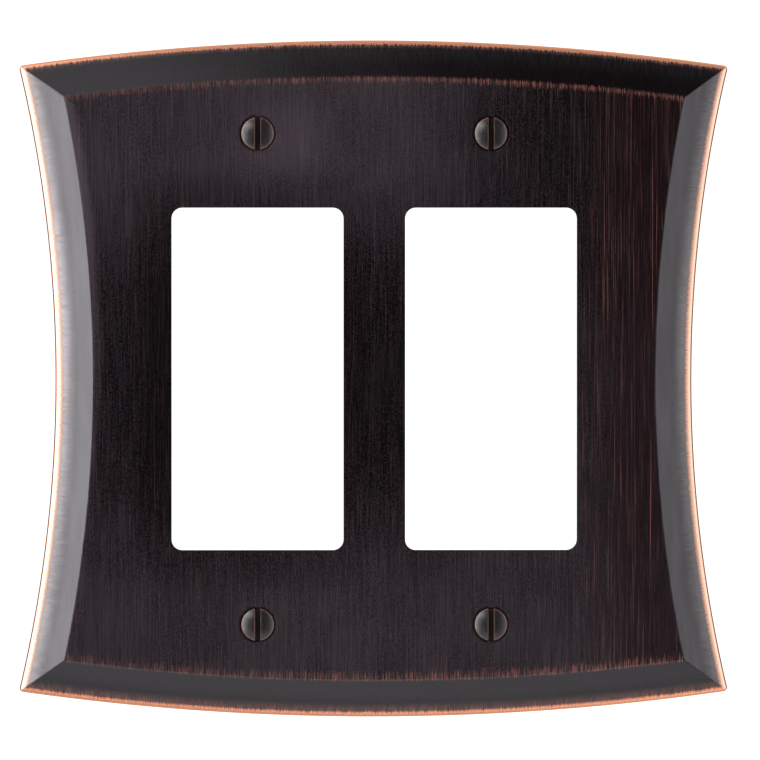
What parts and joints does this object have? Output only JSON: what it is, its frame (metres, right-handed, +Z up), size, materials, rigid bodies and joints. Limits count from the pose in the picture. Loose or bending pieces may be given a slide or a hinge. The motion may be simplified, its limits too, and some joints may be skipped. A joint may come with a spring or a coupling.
{
  "type": "two-gang decorator wall plate",
  "caption": "Curved-sided wall plate with a mitred bevel, decorator device openings and countersunk oval-head mounting screws that draw out of the face.",
  "frame": {"origin": "centre of the plate's outline on the wall plane", "axes": "+X to the right seen from the front, +Y into the wall (the face looks towards -Y), +Z up as fitted"},
  "size_m": [0.1398, 0.02, 0.1336],
  "materials": {
    "rubbed_bronze": "satin",
    "screw_bronze": "satin"
  },
  "bodies": {
    "plate": {"cover_plate": "rubbed_bronze"},
    "screw_upper_left": {"screw_upper_left": "screw_bronze"},
    "screw_upper_right": {"screw_upper_right": "screw_bronze"},
    "screw_lower_left": {"screw_lower_left": "screw_bronze"},
    "screw_lower_right": {"screw_lower_right": "screw_bronze"}
  },
  "joints": [
    {"name": "screw_upper_left_out", "type": "slide", "parent": "plate", "child": "screw_upper_left", "axis": [0, -1, 0], "range_m": [0, 0.024]},
    {"name": "screw_upper_right_out", "type": "slide", "parent": "plate", "child": "screw_upper_right", "axis": [0, -1, 0], "range_m": [0, 0.024]},
    {"name": "screw_lower_left_out", "type": "slide", "parent": "plate", "child": "screw_lower_left", "axis": [0, -1, 0], "range_m": [0, 0.024]},
    {"name": "screw_lower_right_out", "type": "slide", "parent": "plate", "child": "screw_lower_right", "axis": [0, -1, 0], "range_m": [0, 0.024]}
  ]
}
